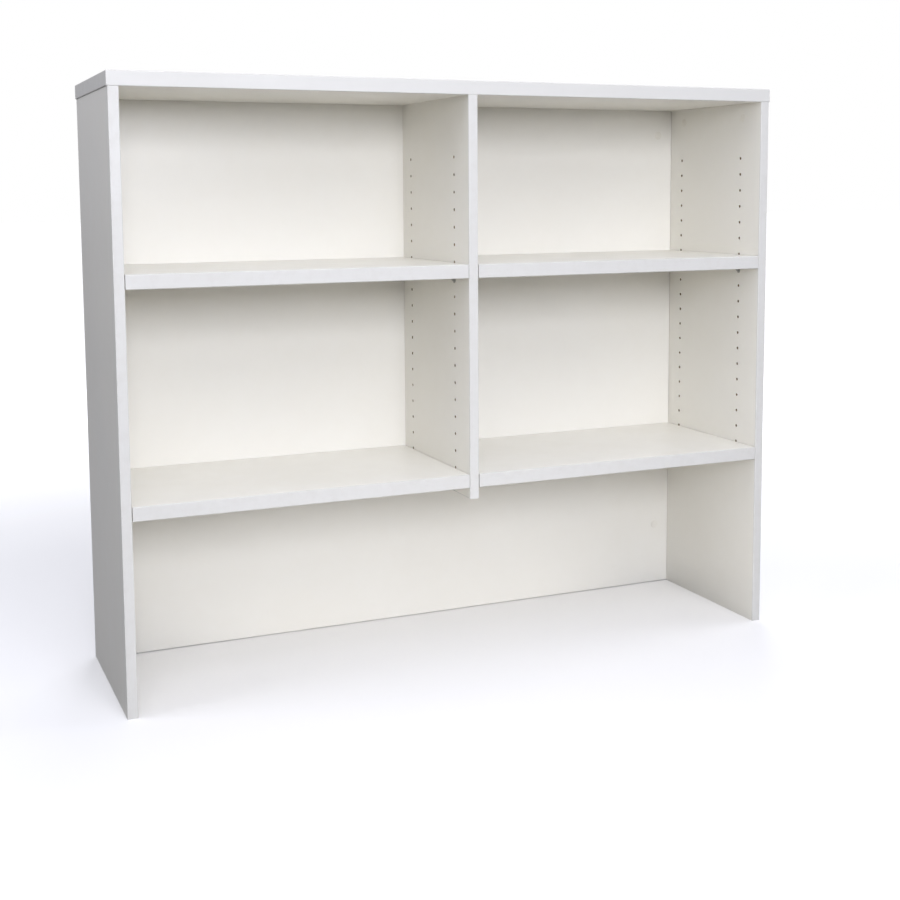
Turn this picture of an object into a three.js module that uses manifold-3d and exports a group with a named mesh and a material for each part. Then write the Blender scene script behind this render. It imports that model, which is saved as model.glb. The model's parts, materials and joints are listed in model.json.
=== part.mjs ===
// Desk hutch in white melamine-faced board: a two-bay open shelf unit that stands on a desk.
// Millimetres, +Z up, open front facing -Y. Origin: centre of the footprint, on the desk surface.

import * as THREE from "three";
import { mergeVertices } from "three/addons/utils/BufferGeometryUtils.js";
import Module from "manifold-3d";

// Overall size
const WIDTH = 1280; // over the top panel
const DEPTH = 340;
const HEIGHT = 1070;

// Boards and their edging
const SIDE_THICKNESS = 18; // sides, divider and back panel
const SHELF_THICKNESS = 25; // shelves and top panel
const EDGE_THICKNESS = 2; // hard edging glued on the boards' visible edges
const EDGE_RADIUS = 1.5; // rounding of the edging's two outer corners
const DIVIDER_BOTTOM = 314; // the divider hangs from the top and ends below the lower shelves
const BACK_INSET = 1; // back panel set in from the sides' rear edges
const BACK_FLOOR_GAP = 1.5; // back panel clear of the desk surface
const BACK_END_GAP = 0.5; // back panel clear of each side
const SHELF_END_GAP = 1; // a shelf clear of the wall at each end, and of the back panel

// Shelf pin holes: four columns in each bay
const PIN_TOP = 937; // height of the top hole
const PIN_PITCH = 32;
const PIN_ROWS = 20;
const PIN_COLUMNS = [66, 278]; // from the front edge
const PIN_HOLE_RADIUS = 2.5;
const PIN_HOLE_DEPTH = 7.5;
const PIN_SIDES = 8;
const UPPER_SHELF_ROW = 7; // holes counted down from the top one, which is row 0
const LOWER_SHELF_ROW = 19;

// Shelf pins: a peg with a small gusseted platform that the shelf lies on
const PEG_RADIUS = 2.3;
const PEG_LENGTH = 7;
const PLATFORM_RISE = 5.5; // platform's upper face above the peg's axis
const PLATFORM_LENGTH = 12;
const PLATFORM_WIDTH = 9;
const PLATFORM_THICKNESS = 1.5;
const PIN_FOOT = 6.5; // the wall plate's lower end below the peg's axis

// Cam fittings: a cam in one board draws in the head of a bolt screwed into the other
const CAM_RADIUS = 7.2;
const CAM_LENGTH = 12;
const CAM_SIDES = 16;
const CAM_BORE_RADIUS = 7.5;
const CAM_BORE_DEPTH = 12.5;
const CAM_SLOT_WIDTH = 7.5; // slot in the cam that takes the bolt's head
const CAM_SLOT_START = 5.25; // slot's near edge, from the board's face
const TOP_CAM_COLUMNS = [60, 272]; // from the front edge
const TOP_CAM_DISTANCE = 28; // cam centre from the mating board
const BACK_CAM_DISTANCE = 34;
const BACK_CAM_HEIGHTS = [132, 992];
const BOLT_SIDES = 8;
const BOLT_HEAD_RADIUS = 3.2;
const BOLT_HEAD_LENGTH = 2.5;
const BOLT_NECK_RADIUS = 2;
const BOLT_NECK_LENGTH = 8.5; // from the cam's centre to the shank
const BOLT_SHANK_RADIUS = 3.4;
const BOLT_BORE_RADIUS = 4;
const BOLT_THREAD_RADIUS = 2.2;
const BOLT_THREAD_LENGTH = 11;
const THREAD_HOLE_RADIUS = 2.5;
const HOLE_END_CLEARANCE = 0.5;

// Countersunk screws through the back panel into the divider's rear edge
const SCREW_HEIGHTS = [380, 580, 790, 990];
const SCREW_SIDES = 12;
const SCREW_RADIUS = 2;
const SCREW_LENGTH = 50;
const SCREW_HOLE_RADIUS = 2.4;
const SCREW_HEAD_RADIUS = 4;
const SCREW_HEAD_LENGTH = 2.5;
const SCREW_HEAD_DEPTH = 0.5; // the head's flat end lies this far inside the back panel's rear face
const COUNTERSINK_CLEARANCE = 0.4;

// Places worked out from the sizes above
const FRONT = -DEPTH / 2;
const REAR = DEPTH / 2;
const CORE_FRONT = FRONT + EDGE_THICKNESS;
const SIDE_OUTER = WIDTH / 2 - EDGE_THICKNESS;
const SIDE_INNER = SIDE_OUTER - SIDE_THICKNESS;
const DIVIDER_FACE = SIDE_THICKNESS / 2;
const TOP_UNDERSIDE = HEIGHT - SHELF_THICKNESS;
const BACK_REAR = REAR - BACK_INSET;
const BACK_FRONT = BACK_REAR - SIDE_THICKNESS;
const MID_THICKNESS = SIDE_THICKNESS / 2;
const COLUMN_Y = PIN_COLUMNS.map((distance) => FRONT + distance);
const TOP_CAM_Y = TOP_CAM_COLUMNS.map((distance) => FRONT + distance);
const CUT_OVERRUN = 1; // a cutter starts this far outside the face it enters

const LEFT = new THREE.Vector3(-1, 0, 0);
const RIGHT = new THREE.Vector3(1, 0, 0);
const TO_FRONT = new THREE.Vector3(0, -1, 0);
const TO_REAR = new THREE.Vector3(0, 1, 0);
const UP = new THREE.Vector3(0, 0, 1);
const DOWN = new THREE.Vector3(0, 0, -1);

const melamine = { color: 0xe9e6da, roughness: 0.5, metalness: 0 };
const edging = { color: 0xe6e7ec, roughness: 0.42, metalness: 0 };
const nickel = { color: 0xa9a8a4, roughness: 0.35, metalness: 1 };
const zinc = { color: 0x9c9c9e, roughness: 0.5, metalness: 1 };
const steel = { color: 0xb4ab8c, roughness: 0.45, metalness: 1 };

const wasm = await Module();
wasm.setup();

function toSolid(geometry) {
  const bare = geometry.clone();
  bare.deleteAttribute("normal");
  bare.deleteAttribute("uv");
  const merged = mergeVertices(bare);
  return new wasm.Manifold(
    new wasm.Mesh({
      numProp: 3,
      vertProperties: merged.attributes.position.array,
      triVerts: new Uint32Array(merged.index.array),
    })
  );
}

function toGeometry(solid) {
  const mesh = solid.getMesh();
  const geometry = new THREE.BufferGeometry();
  geometry.setAttribute("position", new THREE.BufferAttribute(mesh.vertProperties, 3));
  geometry.setIndex(new THREE.BufferAttribute(mesh.triVerts, 1));
  geometry.computeVertexNormals();
  return geometry;
}

function cut(geometry, cutters) {
  let solid = toSolid(geometry);
  for (const cutter of cutters) {
    solid = solid.subtract(toSolid(cutter));
  }
  return toGeometry(solid);
}

function join(geometries) {
  return toGeometry(geometries.map(toSolid).reduce((sum, next) => sum.add(next)));
}

// A box between two corners
function block(low, high) {
  const size = new THREE.Vector3().subVectors(high, low);
  const geometry = new THREE.BoxGeometry(size.x, size.y, size.z);
  geometry.translate((low.x + high.x) / 2, (low.y + high.y) / 2, (low.z + high.z) / 2);
  return geometry;
}

function point(x, y, z) {
  return new THREE.Vector3(x, y, z);
}

// A straight round bar from start, running along direction
function bar(radius, sides, start, direction, length) {
  const geometry = new THREE.CylinderGeometry(radius, radius, length, sides);
  const turn = new THREE.Quaternion().setFromUnitVectors(new THREE.Vector3(0, 1, 0), direction);
  const middle = start.clone().addScaledVector(direction, length / 2);
  geometry.applyQuaternion(turn);
  geometry.translate(middle.x, middle.y, middle.z);
  return geometry;
}

// A blind hole: a bar that starts just outside the face it enters
function hole(radius, sides, mouth, direction, depth) {
  const start = mouth.clone().addScaledVector(direction, -CUT_OVERRUN);
  return bar(radius, sides, start, direction, depth + CUT_OVERRUN);
}

// Turns an object so that its local -Y points along facing and its local Z along run
function aim(object, facing, run) {
  const y = facing.clone().negate();
  const x = new THREE.Vector3().crossVectors(y, run);
  object.quaternion.setFromRotationMatrix(new THREE.Matrix4().makeBasis(x, y, run));
}

function add(group, name, geometry, finish) {
  const mesh = new THREE.Mesh(geometry, new THREE.MeshStandardMaterial(finish));
  mesh.name = name;
  group.add(mesh);
  return mesh;
}

// A board between two corners with its holes cut, placed by its centre
function addBoard(group, name, low, high, cutters = []) {
  const centre = new THREE.Vector3().addVectors(low, high).divideScalar(2);
  const geometry = cut(block(low, high), cutters);
  geometry.translate(-centre.x, -centre.y, -centre.z);
  add(group, name, geometry, melamine).position.copy(centre);
}

// Edging: a strip of the board's thickness with its two outer corners rounded.
// Its glued face is centred on position, it looks towards facing and runs along run.
function addEdging(group, name, boardThickness, length, position, facing, run) {
  const half = boardThickness / 2;
  const outline = new THREE.Shape();
  outline.moveTo(-half, 0);
  outline.lineTo(-half, EDGE_RADIUS - EDGE_THICKNESS);
  outline.absarc(EDGE_RADIUS - half, EDGE_RADIUS - EDGE_THICKNESS, EDGE_RADIUS, Math.PI, Math.PI * 1.5);
  outline.absarc(half - EDGE_RADIUS, EDGE_RADIUS - EDGE_THICKNESS, EDGE_RADIUS, -Math.PI / 2, 0);
  outline.lineTo(half, 0);
  const geometry = new THREE.ExtrudeGeometry(outline, {
    depth: length,
    bevelEnabled: false,
    curveSegments: 3,
  });
  geometry.translate(0, 0, -length / 2);
  const strip = add(group, name, geometry, edging);
  strip.position.copy(position);
  aim(strip, facing, run);
}

// Both columns of pin holes in a wall face at x, drilled along direction
function pinHoles(x, direction) {
  const holes = [];
  for (const y of COLUMN_Y) {
    for (let row = 0; row < PIN_ROWS; row++) {
      const mouth = point(x, y, PIN_TOP - row * PIN_PITCH);
      holes.push(hole(PIN_HOLE_RADIUS, PIN_SIDES, mouth, direction, PIN_HOLE_DEPTH));
    }
  }
  return holes;
}

// One cam fitting. face is the point where the cam's axis meets its board's face, inward points into that
// board, and towards points to the mating board, whose face lies at the given distance.
function camFitting(face, inward, towards, distance) {
  return { face, inward, towards, distance };
}

function camCutters(fitting) {
  const centre = fitting.face.clone().addScaledVector(fitting.inward, MID_THICKNESS);
  const bore = hole(CAM_BORE_RADIUS, CAM_SIDES, fitting.face, fitting.inward, CAM_BORE_DEPTH);
  const length = fitting.distance + CUT_OVERRUN;
  return [bore, bar(BOLT_BORE_RADIUS, BOLT_SIDES, centre, fitting.towards, length)];
}

function threadHole(fitting) {
  const mouth = fitting.face.clone();
  mouth.addScaledVector(fitting.inward, MID_THICKNESS);
  mouth.addScaledVector(fitting.towards, fitting.distance);
  const depth = BOLT_THREAD_LENGTH + HOLE_END_CLEARANCE;
  return hole(THREAD_HOLE_RADIUS, BOLT_SIDES, mouth, fitting.towards, depth);
}

// The cam, made about its own axis: local Y runs into the board and local Z towards the mating board
function camGeometry() {
  const body = bar(CAM_RADIUS, CAM_SIDES, point(0, 0, 0), TO_REAR, CAM_LENGTH);
  const slot = block(
    point(-CAM_SLOT_WIDTH / 2, CAM_SLOT_START, -BOLT_HEAD_LENGTH),
    point(CAM_SLOT_WIDTH / 2, CAM_LENGTH + CUT_OVERRUN, CAM_RADIUS + CUT_OVERRUN)
  );
  const driverCross = [
    block(point(-3, -CUT_OVERRUN, -0.75), point(3, 2, 0.75)),
    block(point(-0.75, -CUT_OVERRUN, -3), point(0.75, 2, 3)),
  ];
  return cut(body, [slot, ...driverCross]);
}

// The bolt, turned about its own axis with its head at the cam's centre
function boltGeometry(distance) {
  const headStart = -BOLT_HEAD_LENGTH / 2;
  const headEnd = BOLT_HEAD_LENGTH / 2;
  const profile = [
    new THREE.Vector2(0, headStart),
    new THREE.Vector2(BOLT_HEAD_RADIUS, headStart),
    new THREE.Vector2(BOLT_HEAD_RADIUS, headEnd),
    new THREE.Vector2(BOLT_NECK_RADIUS, headEnd),
    new THREE.Vector2(BOLT_NECK_RADIUS, BOLT_NECK_LENGTH),
    new THREE.Vector2(BOLT_SHANK_RADIUS, BOLT_NECK_LENGTH),
    new THREE.Vector2(BOLT_SHANK_RADIUS, distance - HOLE_END_CLEARANCE),
    new THREE.Vector2(BOLT_THREAD_RADIUS, distance - HOLE_END_CLEARANCE),
    new THREE.Vector2(BOLT_THREAD_RADIUS, distance + BOLT_THREAD_LENGTH),
    new THREE.Vector2(0, distance + BOLT_THREAD_LENGTH),
  ];
  const geometry = new THREE.LatheGeometry(profile, BOLT_SIDES);
  geometry.rotateX(Math.PI / 2);
  return geometry;
}

function addCamFitting(group, name, fitting) {
  const cam = add(group, name + "_cam", camGeometry(), zinc);
  cam.position.copy(fitting.face);
  aim(cam, fitting.inward.clone().negate(), fitting.towards);
  const bolt = add(group, name + "_bolt", boltGeometry(fitting.distance), steel);
  bolt.position.copy(fitting.face).addScaledVector(fitting.inward, MID_THICKNESS);
  aim(bolt, fitting.inward.clone().negate(), fitting.towards);
}

// A shelf pin about its peg's axis where the peg enters the wall: local X points out of the wall
function pinGeometry() {
  const halfWidth = PLATFORM_WIDTH / 2;
  const halfWeb = PLATFORM_THICKNESS / 2;
  const plate = block(
    point(0, -halfWidth, -PIN_FOOT),
    point(PLATFORM_THICKNESS, halfWidth, PLATFORM_RISE)
  );
  const platform = block(
    point(0, -halfWidth, PLATFORM_RISE - PLATFORM_THICKNESS),
    point(PLATFORM_LENGTH, halfWidth, PLATFORM_RISE)
  );
  const outline = new THREE.Shape();
  outline.moveTo(halfWeb, -PIN_FOOT + 1);
  outline.lineTo(PLATFORM_LENGTH - 1, PLATFORM_RISE - halfWeb);
  outline.lineTo(halfWeb, PLATFORM_RISE - halfWeb);
  const web = new THREE.ExtrudeGeometry(outline, { depth: PLATFORM_THICKNESS, bevelEnabled: false });
  web.rotateX(Math.PI / 2);
  web.translate(0, halfWeb, 0);
  const peg = bar(PEG_RADIUS, PIN_SIDES, point(halfWeb, 0, 0), LEFT, PEG_LENGTH + halfWeb);
  return join([plate, platform, web, peg]);
}

// The two walls of a bay, with the direction from each wall into the bay
const bays = [
  { name: "left", walls: [[-SIDE_INNER, "outer", RIGHT], [-DIVIDER_FACE, "inner", LEFT]] },
  { name: "right", walls: [[SIDE_INNER, "outer", LEFT], [DIVIDER_FACE, "inner", RIGHT]] },
];
const levels = [
  { name: "upper", row: UPPER_SHELF_ROW },
  { name: "lower", row: LOWER_SHELF_ROW },
];
const columnNames = ["front", "rear"];
const sides = [
  { name: "left", sign: -1, outward: LEFT },
  { name: "right", sign: 1, outward: RIGHT },
];

const topCamHeight = TOP_UNDERSIDE - TOP_CAM_DISTANCE;
for (const side of sides) {
  side.topFittings = TOP_CAM_Y.map((y) =>
    camFitting(point(side.sign * SIDE_INNER, y, topCamHeight), side.outward, UP, TOP_CAM_DISTANCE)
  );
  side.backFittings = BACK_CAM_HEIGHTS.map((z) =>
    camFitting(
      point(side.sign * (SIDE_INNER - BACK_CAM_DISTANCE), BACK_FRONT, z),
      TO_REAR,
      side.outward,
      BACK_CAM_DISTANCE
    )
  );
}
const dividerFittings = TOP_CAM_Y.map((y) =>
  camFitting(point(DIVIDER_FACE, y, topCamHeight), LEFT, UP, TOP_CAM_DISTANCE)
);
const topFittings = [...sides.flatMap((side) => side.topFittings), ...dividerFittings];
const backFittings = sides.flatMap((side) => side.backFittings);

const screwPlaces = SCREW_HEIGHTS.map((z) => point(0, BACK_REAR - SCREW_HEAD_DEPTH, z));

// The screw's hole with its countersink, from outside the back panel's rear face
function screwCutters(place) {
  const mouth = point(place.x, BACK_REAR, place.z);
  const depth = SCREW_LENGTH + SCREW_HEAD_DEPTH + HOLE_END_CLEARANCE;
  const wide = SCREW_HEAD_RADIUS + COUNTERSINK_CLEARANCE;
  const sink = new THREE.CylinderGeometry(wide, SCREW_HOLE_RADIUS, SCREW_HEAD_LENGTH, SCREW_SIDES);
  sink.translate(place.x, place.y - SCREW_HEAD_LENGTH / 2, place.z);
  return [
    hole(SCREW_HOLE_RADIUS, SCREW_SIDES, mouth, TO_FRONT, depth),
    hole(wide, SCREW_SIDES, mouth, TO_FRONT, SCREW_HEAD_DEPTH),
    sink,
  ];
}

// The screw about its own axis: its head's flat end at the origin, its point along local -Y
function screwGeometry() {
  const profile = [
    new THREE.Vector2(0, -SCREW_LENGTH),
    new THREE.Vector2(SCREW_RADIUS, 3 * SCREW_RADIUS - SCREW_LENGTH),
    new THREE.Vector2(SCREW_RADIUS, -SCREW_HEAD_LENGTH),
    new THREE.Vector2(SCREW_HEAD_RADIUS, 0),
    new THREE.Vector2(0, 0),
  ];
  return new THREE.LatheGeometry(profile, SCREW_SIDES);
}

function buildCarcass() {
  const carcass = new THREE.Group();
  addBoard(
    carcass,
    "top_panel",
    point(-SIDE_OUTER, CORE_FRONT, TOP_UNDERSIDE),
    point(SIDE_OUTER, REAR, HEIGHT),
    topFittings.map(threadHole)
  );
  for (const side of sides) {
    const x = [side.sign * SIDE_INNER, side.sign * SIDE_OUTER].sort((a, b) => a - b);
    addBoard(
      carcass,
      side.name + "_side_panel",
      point(x[0], CORE_FRONT, 0),
      point(x[1], REAR, TOP_UNDERSIDE),
      [
        ...pinHoles(side.sign * SIDE_INNER, side.outward),
        ...side.topFittings.flatMap(camCutters),
        ...side.backFittings.map(threadHole),
      ]
    );
  }
  addBoard(
    carcass,
    "centre_divider",
    point(-DIVIDER_FACE, CORE_FRONT, DIVIDER_BOTTOM + EDGE_THICKNESS),
    point(DIVIDER_FACE, BACK_FRONT, TOP_UNDERSIDE),
    [
      ...pinHoles(-DIVIDER_FACE, RIGHT),
      ...pinHoles(DIVIDER_FACE, LEFT),
      ...dividerFittings.flatMap(camCutters),
      ...screwPlaces.flatMap(screwCutters),
    ]
  );
  addBoard(
    carcass,
    "back_panel",
    point(BACK_END_GAP - SIDE_INNER, BACK_FRONT, BACK_FLOOR_GAP),
    point(SIDE_INNER - BACK_END_GAP, BACK_REAR, TOP_UNDERSIDE),
    [...backFittings.flatMap(camCutters), ...screwPlaces.flatMap(screwCutters)]
  );
  return carcass;
}

function buildCarcassEdging() {
  const group = new THREE.Group();
  const topMiddle = TOP_UNDERSIDE + SHELF_THICKNESS / 2;
  const topFront = point(0, CORE_FRONT, topMiddle);
  addEdging(group, "top_panel_front_edging", SHELF_THICKNESS, WIDTH, topFront, TO_FRONT, RIGHT);
  for (const side of sides) {
    const end = point(side.sign * SIDE_OUTER, (CORE_FRONT + REAR) / 2, topMiddle);
    const endLength = REAR - CORE_FRONT;
    const endName = "top_panel_" + side.name + "_end_edging";
    addEdging(group, endName, SHELF_THICKNESS, endLength, end, side.outward, TO_REAR);
    const frontX = side.sign * (SIDE_INNER + MID_THICKNESS);
    const front = point(frontX, CORE_FRONT, TOP_UNDERSIDE / 2);
    const frontName = side.name + "_side_front_edging";
    addEdging(group, frontName, SIDE_THICKNESS, TOP_UNDERSIDE, front, TO_FRONT, UP);
  }
  const dividerFront = point(0, CORE_FRONT, (DIVIDER_BOTTOM + TOP_UNDERSIDE) / 2);
  const dividerHeight = TOP_UNDERSIDE - DIVIDER_BOTTOM;
  addEdging(group, "divider_front_edging", SIDE_THICKNESS, dividerHeight, dividerFront, TO_FRONT, UP);
  const bottomY = (CORE_FRONT + BACK_FRONT) / 2;
  const dividerFoot = point(0, bottomY, DIVIDER_BOTTOM + EDGE_THICKNESS);
  const footLength = BACK_FRONT - CORE_FRONT;
  addEdging(group, "divider_bottom_edging", SIDE_THICKNESS, footLength, dividerFoot, DOWN, TO_REAR);
  return group;
}

function pinHeight(level) {
  return PIN_TOP - level.row * PIN_PITCH;
}

function buildShelves() {
  const group = new THREE.Group();
  const length = SIDE_INNER - DIVIDER_FACE - 2 * SHELF_END_GAP;
  const rear = BACK_FRONT - SHELF_END_GAP;
  for (const bay of bays) {
    const middleX = (bay.walls[0][0] + bay.walls[1][0]) / 2;
    for (const level of levels) {
      const underside = pinHeight(level) + PLATFORM_RISE;
      const name = level.name + "_" + bay.name + "_shelf";
      addBoard(
        group,
        name,
        point(middleX - length / 2, CORE_FRONT, underside),
        point(middleX + length / 2, rear, underside + SHELF_THICKNESS)
      );
      const front = point(middleX, CORE_FRONT, underside + SHELF_THICKNESS / 2);
      addEdging(group, name + "_edging", SHELF_THICKNESS, length, front, TO_FRONT, RIGHT);
    }
  }
  return group;
}

function buildShelfPins() {
  const group = new THREE.Group();
  for (const level of levels) {
    for (const bay of bays) {
      for (const [x, wallName, intoBay] of bay.walls) {
        COLUMN_Y.forEach((y, column) => {
          const name = ["pin", level.name, bay.name, wallName, columnNames[column]].join("_");
          const pin = add(group, name, pinGeometry(), nickel);
          pin.position.set(x, y, pinHeight(level));
          pin.rotation.z = intoBay.x > 0 ? 0 : Math.PI;
        });
      }
    }
  }
  return group;
}

function buildFixings() {
  const group = new THREE.Group();
  for (const side of sides) {
    side.topFittings.forEach((fitting, column) => {
      addCamFitting(group, side.name + "_top_" + columnNames[column], fitting);
    });
    side.backFittings.forEach((fitting, index) => {
      addCamFitting(group, side.name + "_back_" + ["lower", "upper"][index], fitting);
    });
  }
  dividerFittings.forEach((fitting, column) => {
    addCamFitting(group, "divider_top_" + columnNames[column], fitting);
  });
  screwPlaces.forEach((place, index) => {
    add(group, "divider_screw_" + (index + 1), screwGeometry(), steel).position.copy(place);
  });
  return group;
}

const hutch = new THREE.Group();
hutch.add(buildCarcass(), buildCarcassEdging(), buildShelves(), buildShelfPins(), buildFixings());

export default hutch;
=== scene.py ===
import json
import math

import bmesh
import bpy
from mathutils import Matrix, Vector

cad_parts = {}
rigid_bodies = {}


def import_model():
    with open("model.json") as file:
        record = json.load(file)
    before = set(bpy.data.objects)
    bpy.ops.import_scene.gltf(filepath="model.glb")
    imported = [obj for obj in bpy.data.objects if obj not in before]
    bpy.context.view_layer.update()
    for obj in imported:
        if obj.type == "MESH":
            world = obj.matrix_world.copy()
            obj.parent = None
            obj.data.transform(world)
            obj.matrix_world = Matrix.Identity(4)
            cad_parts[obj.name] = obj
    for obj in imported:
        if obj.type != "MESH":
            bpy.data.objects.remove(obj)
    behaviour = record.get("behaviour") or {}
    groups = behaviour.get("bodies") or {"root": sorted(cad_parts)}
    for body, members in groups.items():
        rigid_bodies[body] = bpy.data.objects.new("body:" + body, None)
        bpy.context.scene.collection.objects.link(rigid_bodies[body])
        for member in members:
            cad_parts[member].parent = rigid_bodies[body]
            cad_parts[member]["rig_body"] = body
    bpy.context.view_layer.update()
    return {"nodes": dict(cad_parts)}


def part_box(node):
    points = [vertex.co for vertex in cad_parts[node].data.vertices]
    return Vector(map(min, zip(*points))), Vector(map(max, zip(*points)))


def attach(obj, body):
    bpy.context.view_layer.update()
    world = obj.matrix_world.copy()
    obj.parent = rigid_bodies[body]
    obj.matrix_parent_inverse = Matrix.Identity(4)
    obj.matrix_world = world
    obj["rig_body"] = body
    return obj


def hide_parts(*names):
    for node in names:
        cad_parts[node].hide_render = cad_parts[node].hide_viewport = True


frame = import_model()
print("frame loaded,", len(frame["nodes"]), "nodes")

xAxis = Vector((1, 0, 0))
yAxis = Vector((0, 1, 0))
zAxis = Vector((0, 0, 1))
mm = 0.001
doubles = 0.002 * mm                     # points this close are one point
rimLean = {"start": 0.12, "full": 0.28}  # how far a normal leans off the flats at a rim


# small tools

def clearPick():
    active = bpy.context.view_layer.objects.active
    if active is not None and active.mode != "OBJECT":
        bpy.ops.object.mode_set(mode="OBJECT")
    bpy.ops.object.select_all(action="DESELECT")


def pick(*pieces):
    clearPick()
    for piece in pieces:
        piece.select_set(True)
    bpy.context.view_layer.objects.active = pieces[0]


def settle(piece):  # its place and turn go into its mesh
    pick(piece)
    bpy.ops.object.transform_apply(location=True, rotation=True, scale=True)


def nameIt(piece, name):
    piece.name = name
    piece.data.name = name


def startBlock(name, low, high):
    clearPick()
    low, high = Vector(low), Vector(high)
    bpy.ops.mesh.primitive_cube_add(size=1, location=(low + high) / 2)
    piece = bpy.context.object
    nameIt(piece, name)
    piece.scale = high - low
    settle(piece)
    return piece


def startRod(name, start, end, radius, sides):
    clearPick()
    start, end = Vector(start), Vector(end)
    run = end - start
    turn = run.to_track_quat("Z", "Y").to_euler()
    bpy.ops.mesh.primitive_cylinder_add(
        vertices=sides, radius=radius, depth=run.length, location=(start + end) / 2, rotation=turn
    )
    piece = bpy.context.object
    nameIt(piece, name)
    settle(piece)
    return piece


def pickParts(piece, kind, test):  # into edit mode with the parts that pass the test selected
    pick(piece)
    bpy.ops.object.mode_set(mode="EDIT")
    bpy.ops.mesh.select_mode(type=kind)
    bpy.ops.mesh.select_all(action="DESELECT")
    shape = bmesh.from_edit_mesh(piece.data)
    for part in {"VERT": shape.verts, "EDGE": shape.edges, "FACE": shape.faces}[kind]:
        if test(part):
            part.select_set(True)
    bmesh.update_edit_mesh(piece.data)


def leaveEdit():
    bpy.ops.object.mode_set(mode="OBJECT")


def applied(piece, kind, **settings):
    pick(piece)
    bpy.ops.object.modifier_add(type=kind)
    modifier = piece.modifiers[-1]
    for key, value in settings.items():
        setattr(modifier, key, value)
    bpy.ops.object.modifier_apply(modifier=modifier.name)


def cutAway(piece, cutter):
    applied(piece, "BOOLEAN", operation="DIFFERENCE", solver="EXACT", object=cutter)
    bpy.data.objects.remove(cutter)


def weldOn(piece, other):
    applied(piece, "BOOLEAN", operation="UNION", solver="EXACT", object=other)
    bpy.data.objects.remove(other)


def smoothed(piece, angle=35):  # soft shading on the roundings only, flats stay flat
    pick(piece)
    bpy.ops.object.shade_smooth_by_angle(angle=math.radians(angle))
    applied(piece, "WEIGHTED_NORMAL", weight=100, keep_sharp=True)


def lathed(name, outline, steps):  # outline is (radius, height) points from one end of the axis to the other
    clearPick()
    bpy.ops.mesh.primitive_plane_add(size=mm)
    piece = bpy.context.object
    nameIt(piece, name)
    bpy.ops.object.mode_set(mode="EDIT")
    bpy.ops.mesh.select_mode(type="VERT")
    bpy.ops.mesh.select_all(action="SELECT")
    bpy.ops.mesh.merge(type="CENTER")
    bpy.ops.transform.translate(value=(outline[0][0], 0, outline[0][1]))
    for (radius, height), (nextRadius, nextHeight) in zip(outline, outline[1:]):
        step = (nextRadius - radius, 0, nextHeight - height)
        bpy.ops.mesh.extrude_vertices_move(TRANSFORM_OT_translate={"value": step})
    bpy.ops.mesh.select_all(action="SELECT")
    bpy.ops.mesh.spin(steps=steps, angle=math.tau, center=(0, 0, 0), axis=(0, 0, 1))
    bpy.ops.mesh.select_all(action="SELECT")
    bpy.ops.mesh.remove_doubles(threshold=doubles)
    bpy.ops.mesh.normals_make_consistent(inside=False)
    leaveEdit()
    return piece


def copyTo(model, name, place, right, forward, up):  # a copy with its own mesh, its axes turned to these
    pick(model)
    bpy.ops.object.duplicate(linked=False)
    piece = bpy.context.object
    nameIt(piece, name)
    turn = Matrix((right, forward, up)).transposed().to_4x4()
    piece.matrix_world = Matrix.Translation(place) @ turn
    settle(piece)
    return piece


def markRims(piece):  # 1 on the middle of a rounded edge, 0 on the flats beside it
    mesh = piece.data
    rim = mesh.attributes.new("rim", "FLOAT", "POINT")
    for vertex in mesh.vertices:
        lean = 1 - max(abs(part) for part in vertex.normal)
        share = (lean - rimLean["start"]) / (rimLean["full"] - rimLean["start"])
        rim.data[vertex.index].value = min(1.0, max(0.0, share))


def standFor(piece, node):
    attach(piece, frame["nodes"][node]["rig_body"])
    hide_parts(node)


# shader tools

def addNode(tree, kind, inputs=None, **settings):
    made = tree.nodes.new("ShaderNode" + kind)
    for key, value in settings.items():
        setattr(made, key, value)
    for key, value in (inputs or {}).items():
        if isinstance(value, bpy.types.NodeSocket):
            tree.links.new(value, made.inputs[key])
        else:
            made.inputs[key].default_value = value
    return made


def mixedColour(tree, share, first, second):  # a Mix node's colours are its sockets 6 and 7, and 2 going out
    return addNode(tree, "Mix", {0: share, 6: first, 7: second}, data_type="RGBA").outputs[2]


def maths(tree, operation, first, second):
    return addNode(tree, "Math", {0: first, 1: second}, operation=operation).outputs[0]


def weighed(tree, first, second, share):  # share says how much the first one counts
    firstPart = maths(tree, "MULTIPLY", first, share)
    return maths(tree, "ADD", firstPart, maths(tree, "MULTIPLY", second, 1 - share))


def ranged(tree, value, low, high, start=0.0, end=1.0):
    inputs = {"Value": value, "From Min": low, "From Max": high, "To Min": start, "To Max": end}
    return addNode(tree, "MapRange", inputs).outputs["Result"]


def noise(tree, place, scale, detail=2.0, rough=0.5):
    inputs = {"Vector": place, "Scale": scale, "Detail": detail, "Roughness": rough}
    return addNode(tree, "TexNoise", inputs).outputs["Fac"]


def ramped(tree, value, stops):  # a new ramp already has two stops
    ramp = addNode(tree, "ValToRGB", {"Fac": value})
    elements = ramp.color_ramp.elements
    for index, (spot, colour) in enumerate(stops):
        stop = elements[index] if index < 2 else elements.new(spot)
        stop.position = spot
        stop.color = colour
    return ramp.outputs["Color"]


def ownPlace(tree):
    return addNode(tree, "TexCoord").outputs["Object"]


def startGroup(name, inputs, outputs):
    group = bpy.data.node_groups.new(name, "ShaderNodeTree")
    for label, value in inputs.items():
        kind = "NodeSocketColor" if isinstance(value, tuple) else "NodeSocketFloat"
        group.interface.new_socket(label, in_out="INPUT", socket_type=kind).default_value = value
    for label, kind in outputs.items():
        group.interface.new_socket(label, in_out="OUTPUT", socket_type=kind)
    return group, group.nodes.new("NodeGroupInput").outputs, group.nodes.new("NodeGroupOutput").inputs


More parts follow.
